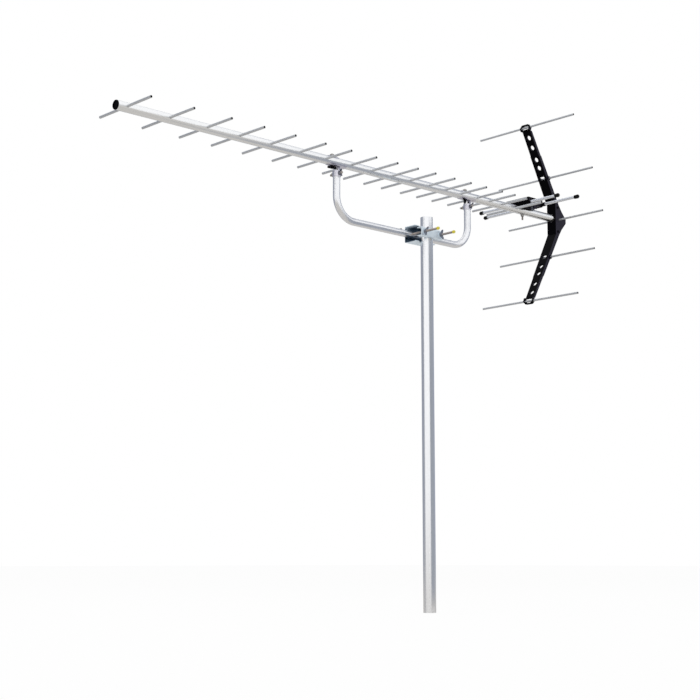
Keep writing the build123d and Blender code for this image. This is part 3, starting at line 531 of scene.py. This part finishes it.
# Finishes
tubeFinishes = {
    "mastTube": {
        "light": (0.95, 0.96, 0.98), "dark": (0.91, 0.92, 0.95), "roughness": (0.19, 0.24),
        "stretch": (300, 300, 5),
        "bore": {"Centre": (0, 0, 0), "Across": (1, 1, 0), "Radius": 0.0150},
    },
    "boomTube": {
        "light": (0.95, 0.96, 0.98), "dark": (0.91, 0.92, 0.93), "roughness": (0.26, 0.32),
        "stretch": (350, 6, 350),
        "bore": {"Centre": (-0.031, 0.0, 1.097), "Across": (1, 0, 1), "Radius": 0.0103},
    },
    "stayTube": {
        "light": (0.94, 0.95, 0.98), "dark": (0.90, 0.91, 0.94), "roughness": (0.26, 0.32),
        "stretch": (120, 30, 120),
    },
    "rodTube": {
        "light": (0.67, 0.69, 0.72), "dark": (0.62, 0.64, 0.67), "roughness": (0.46, 0.54),
        "stretch": (8, 400, 400),
    },
    "radiatorTube": {
        "light": (0.88, 0.91, 0.97), "dark": (0.82, 0.85, 0.91), "roughness": (0.32, 0.40),
        "stretch": (8, 400, 400),
    },
}
plasticFinishes = {
    # Painted shade: near black inside the bores of the directors and reflector rods
    "tubeBore": {
        "light": (0.012, 0.012, 0.012), "dark": (0.006, 0.006, 0.006), "roughness": (0.7, 0.8),
        "bump": 0.1, "gloss": 0.1,
    },
    "blackPlastic": {
        "light": (0.0018, 0.0017, 0.0022), "dark": (0.0012, 0.0011, 0.0015), "roughness": (0.30, 0.38),
        "bump": 0.05, "gloss": 0.03, "sheen": (0.84, 0.80, 1.0),
    },
    # Painted light: the sideways faces of the black plastic, lighter, tinted and glossier than its front,
    # as a lit side
    "blackSide": {
        "light": (0.0150, 0.0140, 0.0240), "dark": (0.0110, 0.0100, 0.0180), "roughness": (0.34, 0.42),
        "bump": 0.05, "gloss": 0.16, "sheen": (0.80, 0.74, 1.0),
    },
    "blackCap": {
        "light": (0.004, 0.004, 0.004), "dark": (0.002, 0.002, 0.002), "roughness": (0.30, 0.40),
        "bump": 0.1, "gloss": 0.12,
    },
    "laminate": {
        "light": (0.05, 0.20, 0.10), "dark": (0.035, 0.15, 0.075), "roughness": (0.35, 0.45),
        "grainScale": 1500.0, "bump": 0.3,
    },
    "ferrite": {
        "light": (0.050, 0.050, 0.055), "dark": (0.030, 0.030, 0.033), "roughness": (0.5, 0.65),
        "grainScale": 1800.0, "bump": 0.4,
    },
    "whitePlastic": {
        "light": (0.80, 0.79, 0.75), "dark": (0.72, 0.71, 0.67), "roughness": (0.35, 0.45),
    },
    # Painted highlight on the front of the feed box's lid
    "sealStrip": {
        "light": (0.56, 0.55, 0.62), "dark": (0.50, 0.49, 0.56), "roughness": (0.35, 0.45),
        "bump": 0.1,
    },
    "yellowTip": {
        "light": (0.72, 0.62, 0.05), "dark": (0.62, 0.53, 0.04), "roughness": (0.30, 0.40),
        "grainScale": 1200.0, "bump": 0.2,
    },
}
coatedFinishes = {
    "contactBrass": {
        "light": (0.80, 0.60, 0.25), "dark": (0.66, 0.47, 0.18), "roughness": (0.22, 0.34), "scale": 500.0,
    },
    "platedSteel": {
        "light": (0.46, 0.45, 0.43), "dark": (0.36, 0.35, 0.34), "roughness": (0.26, 0.38), "scale": 300.0,
    },
    "bracketZinc": {
        "light": (0.80, 0.79, 0.86), "dark": (0.70, 0.69, 0.77), "roughness": (0.20, 0.30), "scale": 200.0,
    },
    "clampZinc": {
        "light": (0.85, 0.94, 1.00), "dark": (0.75, 0.85, 0.94), "roughness": (0.40, 0.50), "scale": 130.0,
        "metallic": 0.6,
    },
    "boltZinc": {
        "light": (0.50, 0.46, 0.43), "dark": (0.40, 0.36, 0.34), "roughness": (0.30, 0.42), "scale": 300.0,
    },
    "darkSteel": {
        "light": (0.28, 0.29, 0.34), "dark": (0.20, 0.21, 0.25), "roughness": (0.28, 0.40), "scale": 300.0,
    },
    # Painted shade inside the mast clamp's channel: a darker copy of the clamp's zinc
    "clampInside": {
        "light": (0.17, 0.25, 0.33), "dark": (0.10, 0.16, 0.22), "roughness": (0.34, 0.46), "scale": 130.0,
    },
}
finishes = {}
for makeFinish, family in (
    (drawnMetal, tubeFinishes),
    (mouldedPlastic, plasticFinishes),
    (zincMetal, coatedFinishes),
):
    for finishName, settings in family.items():
        finishes[finishName] = makeFinish(finishName, **settings)

# Painted light on the painted shade: the near mouth of the mast clamp gets paler towards a lower y and a
# higher z, between these values
mouthSettings = {
    "alongY": (-0.030, -0.014),
    "aboveZ": (0.9675, 0.9725),
    "colour": (0.66, 0.76, 0.84),
    "metallic": 0.3,
}
lightenMouth(finishes["clampInside"], mouthSettings)

slotFinish = {
    "mast_metal": "mastTube",
    "stay_metal": "stayTube",
    "boom_metal": "boomTube",
    "rod_metal": "rodTube",
    "radiator_metal": "radiatorTube",
    "black_plastic": "blackPlastic",
    "black_cap": "blackCap",
    "board": "laminate",
    "ferrite": "ferrite",
    "contact_brass": "contactBrass",
    "plated_steel": "platedSteel",
    "white_plastic": "whitePlastic",
    "bracket_metal": "bracketZinc",
    "galvanised_steel": "clampZinc",
    "yellow_tip": "yellowTip",
}
nodeFinish = {
    "clamp_bolts": "boltZinc",
    "cross_bolts": "boltZinc",
    "boom_bolts": "boltZinc",
    "feed_bolt": "boltZinc",
    "wing_nuts": "darkSteel",
    "coax_outlet": "darkSteel",
}
slotOfNode = {part["node"]: part["material_slot"] for part in frame["record"]["subparts"]}


def finishOf(nodeName):
    return nodeFinish.get(nodeName, slotFinish[slotOfNode[nodeName]])


for nodeName, obj in nodes.items():
    obj.data.materials.clear()
    obj.data.materials.append(finishes[finishOf(nodeName)])
print("finishes on", len(nodes), "nodes")


# Finer pieces, in place of the plain nodes that they refine

# The axis along which a piece lies, as the index of a coordinate
sideWays, upWays = 0, 2
xAxis, yAxis = Vector((1, 0, 0)), Vector((0, 1, 0))
meshSettings = {"sharpAngle": 35, "mergeDistance": 1e-6}


def joinInto(whole, part):
    scratch = bpy.data.meshes.new("scratch")
    part.to_mesh(scratch)
    whole.from_mesh(scratch)
    part.free()
    bpy.data.meshes.remove(scratch)


def newPiece(name, bm, finishNames, sharpAngle=meshSettings["sharpAngle"]):
    mesh = bpy.data.meshes.new(name)
    bm.to_mesh(mesh)
    bm.free()
    for finishName in finishNames:
        mesh.materials.append(finishes[finishName])
    mesh.shade_smooth()
    mesh.set_sharp_from_angle(angle=math.radians(sharpAngle))
    piece = bpy.data.objects.new(name, mesh)
    bpy.context.scene.collection.objects.link(piece)
    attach(piece, bodyName)
    return piece


def refine(nodeName, bm, extraFinishes=(), sharpAngle=meshSettings["sharpAngle"]):
    # A finer piece in the place of one node, with that node's own finish first
    finishNames = [finishOf(nodeName), *extraFinishes]
    piece = newPiece(nodeName + "_fine", bm, finishNames, sharpAngle)
    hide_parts(nodeName)
    return piece


def boxAround(verts):
    low = Vector([min(vert.co[axis] for vert in verts) for axis in range(3)])
    high = Vector([max(vert.co[axis] for vert in verts) for axis in range(3)])
    return low, high


def solidBoxes(nodeName):
    # The low and high corners of each separate solid of a node, from the lowest y up
    bm = bmesh.new()
    bm.from_mesh(nodes[nodeName].data)
    bmesh.ops.remove_doubles(bm, verts=bm.verts, dist=meshSettings["mergeDistance"])
    boxes = []
    waiting = set(bm.verts)
    while waiting:
        island = [waiting.pop()]
        for vert in island:
            for edge in vert.link_edges:
                other = edge.other_vert(vert)
                if other in waiting:
                    waiting.remove(other)
                    island.append(other)
        boxes.append(boxAround(island))
    bm.free()
    return sorted(boxes, key=lambda box: (box[0].y, box[0].z))


def boxEnds(box, axis):
    # The centres of the two faces of a box that lie across an axis
    low, high = box
    middle = (low + high) / 2
    start, end = middle.copy(), middle.copy()
    start[axis], end[axis] = low[axis], high[axis]
    return start, end


def spinOutline(outline, start, axis, steps, closed, merge=True, lift=Vector((0, 0, 0))):
    # Spins an outline of (distance along the axis, radius) one turn about the axis, with a rise each step
    part = bmesh.new()
    side = axis.orthogonal().normalized()
    verts = [part.verts.new(start + axis * along + side * radius) for along, radius in outline]
    edges = [part.edges.new(pair) for pair in zip(verts, verts[1:])]
    if closed:
        edges.append(part.edges.new((verts[-1], verts[0])))
    bmesh.ops.spin(
        part, geom=verts + edges, cent=start, axis=axis, dvec=lift,
        angle=2 * math.pi, steps=steps, use_merge=merge, use_duplicate=False,
    )
    return part


# Shares of the wall: how far the rims are eased, and how deep a face lies to count as the bore
rimSettings = {"ease": 0.4, "boreDepth": 0.8, "steps": 28}


def addTube(bm, start, end, radius, wall, steps=rimSettings["steps"]):
    # A tube with eased rims. Its bore takes the second material.
    axis = (end - start).normalized()
    length = (end - start).length
    ease = wall * rimSettings["ease"]
    outline = [
        (ease, radius),
        (0, radius - ease),
        (0, radius - wall + ease),
        (ease, radius - wall),
        (length - ease, radius - wall),
        (length, radius - wall + ease),
        (length, radius - ease),
        (length - ease, radius),
    ]
    part = spinOutline(outline, start, axis, steps, True)
    bmesh.ops.recalc_face_normals(part, faces=part.faces)
    for face in part.faces:
        fromAxis = (face.calc_center_median() - start).cross(axis).length
        if fromAxis < radius - wall * rimSettings["boreDepth"]:
            face.material_index = 1
    joinInto(bm, part)


# Threads by size. The first three values of the shape are shares of the pitch.
threadSizes = {
    "sixMillimetre": {"radius": 0.0030, "pitch": 0.0010, "depth": 0.0005, "steps": 20},
    "fiveMillimetre": {"radius": 0.0025, "pitch": 0.0008, "depth": 0.0004, "steps": 20},
    "outlet": {"radius": 0.00475, "pitch": 0.0008, "depth": 0.0004, "steps": 32},
}
threadShape = {"crestStart": 0.40, "crestEnd": 0.60, "merge": 0.02, "spareTurns": 2, "cutDistance": 1e-7}


def addThread(bm, start, end, thread, bore=0.0):
    # A threaded rod: a toothed outline spun with a rise of one pitch a turn, then cut flat at both ends
    axis = (end - start).normalized()
    length = (end - start).length
    pitch, radius = thread["pitch"], thread["radius"]
    root = radius - thread["depth"]
    spare = threadShape["spareTurns"]
    outline = []
    for turn in range(-spare, int(length / pitch) + spare + 1):
        along = turn * pitch
        outline += [
            (along, root),
            (along + threadShape["crestStart"] * pitch, radius),
            (along + threadShape["crestEnd"] * pitch, radius),
        ]
    lift = axis * (pitch / thread["steps"])
    part = spinOutline(outline, start, axis, thread["steps"], False, False, lift)
    bmesh.ops.remove_doubles(part, verts=part.verts, dist=pitch * threadShape["merge"])
    for place, normal in ((start, axis), (end, -axis)):
        bmesh.ops.bisect_plane(
            part, geom=part.verts[:] + part.edges[:] + part.faces[:], dist=threadShape["cutDistance"],
            plane_co=place, plane_no=normal, clear_inner=True,
        )
    if bore:
        sleeve = spinOutline([(0, bore), (length, bore)], start, axis, thread["steps"], False)
        joinInto(part, sleeve)
        near = meshSettings["mergeDistance"]
        for place in (start, end):
            rims = [
                edge for edge in part.edges
                if edge.is_boundary and all(abs((vert.co - place).dot(axis)) < near for vert in edge.verts)
            ]
            bmesh.ops.bridge_loops(part, edges=rims)
    else:
        bmesh.ops.holes_fill(part, edges=[edge for edge in part.edges if edge.is_boundary], sides=0)
    bmesh.ops.recalc_face_normals(part, faces=part.faces)
    joinInto(bm, part)


# A hexagon's face circle, as a share of half its width, and the depth of its turned corners as a share
# of what they are turned down by. Points farther out than the face circle are drawn in to the six sides.
hexagonSettings = {"faceShare": 0.97, "slope": 0.5, "outside": 1.001, "steps": 48}


def addHexagon(bm, start, end, flats, corner, bore=0.0):
    # A hexagon nut, or a bolt's head where there is no bore. One of its corners points along corner.
    axis = (end - start).normalized()
    length = (end - start).length
    halfFlats = flats / 2
    cornerRadius = halfFlats / math.cos(math.radians(30))
    faceRadius = halfFlats * hexagonSettings["faceShare"]
    ease = (cornerRadius - faceRadius) * hexagonSettings["slope"]
    outline = [
        (0, bore),
        (0, faceRadius),
        (ease, cornerRadius),
        (length - ease, cornerRadius),
        (length, faceRadius),
        (length, bore),
    ]
    part = spinOutline(outline, start, axis, hexagonSettings["steps"], bool(bore))
    bmesh.ops.remove_doubles(part, verts=part.verts, dist=meshSettings["mergeDistance"])
    across = axis.cross(corner)
    for vert in part.verts:
        along = (vert.co - start).dot(axis)
        spoke = vert.co - start - axis * along
        if spoke.length > faceRadius * hexagonSettings["outside"]:
            turn = math.degrees(math.atan2(spoke.dot(across), spoke.dot(corner))) % 60
            reach = halfFlats / math.cos(math.radians(turn - 30))
            vert.co = start + axis * along + spoke.normalized() * reach
    bmesh.ops.recalc_face_normals(part, faces=part.faces)
    joinInto(bm, part)


# Directors and reflector rods: open tubes with eased rims and bores painted dark as shade
tubeWalls = {"director": 0.0007, "reflector_rod": 0.0006}
for nodeName in nodes:
    family = nodeName.rstrip("_0123456789")  # the name without its number
    if family in tubeWalls:
        low, high = boxAround(nodes[nodeName].data.vertices)
        left, right = boxEnds((low, high), sideWays)
        bm = bmesh.new()
        addTube(bm, left, right, (high.z - low.z) / 2, tubeWalls[family])
        refine(nodeName, bm, ["tubeBore"])
print("open tubes ready")

# Bolts with their threads, and nuts with turned corners
cornerTowards = {sideWays: yAxis, upWays: xAxis}
boltSettings = {
    "boom_bolts": {"lies": upWays, "thread": "sixMillimetre"},
    "cross_bolts": {"lies": sideWays, "thread": "sixMillimetre"},
    "clamp_bolts": {
        "lies": sideWays, "thread": "sixMillimetre", "head": 0.0040, "flats": 0.0100, "headAtEnd": False,
    },
    "feed_bolt": {
        "lies": upWays, "thread": "fiveMillimetre", "head": 0.0035, "flats": 0.0080, "headAtEnd": True,
    },
}
for nodeName, bolt in boltSettings.items():
    bm = bmesh.new()
    corner = cornerTowards[bolt["lies"]]
    for box in solidBoxes(nodeName):
        start, end = boxEnds(box, bolt["lies"])
        axis = (end - start).normalized()
        if "head" in bolt and bolt["headAtEnd"]:
            seat = end - axis * bolt["head"]
            addHexagon(bm, seat, end, bolt["flats"], corner)
            end = seat
        elif "head" in bolt:
            seat = start + axis * bolt["head"]
            addHexagon(bm, start, seat, bolt["flats"], corner)
            start = seat
        addThread(bm, start, end, threadSizes[bolt["thread"]])
    refine(nodeName, bm)

nutSettings = {"flats": 0.0100, "bore": 0.0030}
bm = bmesh.new()
for low, high in solidBoxes("hex_nuts"):
    lies = sideWays if high.x - low.x < high.z - low.z else upWays
    start, end = boxEnds((low, high), lies)
    addHexagon(bm, start, end, nutSettings["flats"], cornerTowards[lies], nutSettings["bore"])
refine("hex_nuts", bm)

feedNutSettings = {"flats": 0.0080, "bore": 0.0025, "flange": 0.0010, "flangeRadius": 0.0055}
flangeWall = feedNutSettings["flangeRadius"] - feedNutSettings["bore"]
bm = bmesh.new()
start, end = boxEnds(solidBoxes("feed_nut")[0], upWays)
seat = end - Vector((0, 0, feedNutSettings["flange"]))
addHexagon(bm, start, seat, feedNutSettings["flats"], cornerTowards[upWays], feedNutSettings["bore"])
addTube(bm, seat, end, feedNutSettings["flangeRadius"], flangeWall)
refine("feed_nut", bm, ["boltZinc"])

# Coaxial outlet: a threaded stub with a bore, under its flange and its stem
outletSettings = {
    "bore": 0.0034,
    "length": 0.0115,
    "flange": 0.0015,
    "flangeRadius": 0.0066,
    "stemRadius": 0.00405,
}
bm = bmesh.new()
bottom, top = boxEnds(solidBoxes("coax_outlet")[0], upWays)
threadTop = bottom + Vector((0, 0, outletSettings["length"]))
flangeTop = threadTop + Vector((0, 0, outletSettings["flange"]))
addThread(bm, bottom, threadTop, threadSizes["outlet"], outletSettings["bore"])
for start, end, radius in (
    (threadTop, flangeTop, outletSettings["flangeRadius"]),
    (flangeTop, top, outletSettings["stemRadius"]),
):
    addTube(bm, start, end, radius, radius - outletSettings["bore"], threadSizes["outlet"]["steps"])
refine("coax_outlet", bm, ["darkSteel"])
print("bolts, nuts and outlet ready")

# Moulded and pressed pieces: a merged copy of each node with eased edges
easedEdges = {
    "feed_box_base": 0.0004,
    "feed_box_lid": 0.0004,
    "reflector_hub": 0.0006,
    "reflector_arm_upper": 0.0005,
    "reflector_arm_lower": 0.0005,
    "bar_grips": 0.0008,
    "bracket_front": 0.0002,
    "bracket_rear": 0.0002,
    "boom_saddles": 0.0002,
    "mast_bracket": 0.00025,
    "mast_jaw": 0.00025,
    "wing_nuts": 0.0004,
}
# Faces within the flat angle of each other are joined, and edges above the sharp angle are then eased
easing = {"segments": 2, "sharpAngle": 32, "flatAngle": 0.5}

# A second finish on some faces: those inside a wall of the node's box take painted shade, or else those
# that face sideways take a painted lit side
shadedInnerFaces = {"finish": "clampInside", "wall": 0.0018, "across": (sideWays, upWays)}
litSideFaces = {"finish": "blackSide", "facing": 0.9}
secondFinishes = {
    "mast_bracket": shadedInnerFaces,
    "feed_box_base": litSideFaces,
    "reflector_hub": litSideFaces,
    "reflector_arm_upper": litSideFaces,
    "reflector_arm_lower": litSideFaces,
}


def takesSecond(face, box, second):
    if "facing" in second:
        return abs(face.normal.x) > second["facing"]
    low, high = box
    wall = second["wall"]
    centre = face.calc_center_median()
    return all(low[axis] + wall < centre[axis] < high[axis] - wall for axis in second["across"])


def easedCopy(nodeName, width):
    second = secondFinishes.get(nodeName)
    bm = bmesh.new()
    bm.from_mesh(nodes[nodeName].data)
    bmesh.ops.remove_doubles(bm, verts=bm.verts, dist=meshSettings["mergeDistance"])
    flatAngle = math.radians(easing["flatAngle"])
    bmesh.ops.dissolve_limit(bm, angle_limit=flatAngle, verts=bm.verts, edges=bm.edges)
    box = boxAround(bm.verts)
    for face in bm.faces:
        face.material_index = int(second is not None and takesSecond(face, box, second))
    piece = refine(nodeName, bm, [second["finish"]] if second else [], easing["sharpAngle"])
    bevel = piece.modifiers.new("easedEdges", "BEVEL")
    bevel.width = width
    bevel.segments = easing["segments"]
    bevel.limit_method = "ANGLE"
    bevel.angle_limit = math.radians(easing["sharpAngle"])
    bevel.use_clamp_overlap = False
    bevel.harden_normals = True


for nodeName, width in easedEdges.items():
    easedCopy(nodeName, width)
print("eased copies ready")

# Painted highlight: a pale strip along the front of the feed box's lid, in place of light on its top edge.
# Left and right are its reach from the box's middle.
stripSettings = {
    "left": 0.040,
    "right": 0.038,
    "bottom": -0.0085,
    "height": 0.0055,
    "thickness": 0.0004,
    "ease": 0.0001,
}
lidLow, lidHigh = boxAround(nodes["feed_box_lid"].data.vertices)
stripSize = (
    stripSettings["left"] + stripSettings["right"],
    stripSettings["thickness"],
    stripSettings["height"],
)
stripPlace = (
    (lidLow.x + lidHigh.x + stripSettings["right"] - stripSettings["left"]) / 2,
    lidLow.y - stripSettings["thickness"] / 2,
    lidHigh.z + stripSettings["bottom"] + stripSettings["height"] / 2,
)
bm = bmesh.new()
bmesh.ops.create_cube(bm, size=1)
bmesh.ops.scale(bm, verts=bm.verts, vec=stripSize)
bmesh.ops.translate(bm, verts=bm.verts, vec=stripPlace)
bmesh.ops.bevel(
    bm, geom=bm.edges[:], offset=stripSettings["ease"], offset_type="OFFSET",
    segments=1, profile=0.5, affect="EDGES", material=-1,
)
newPiece("lid_highlight_strip", bm, ["sealStrip"])
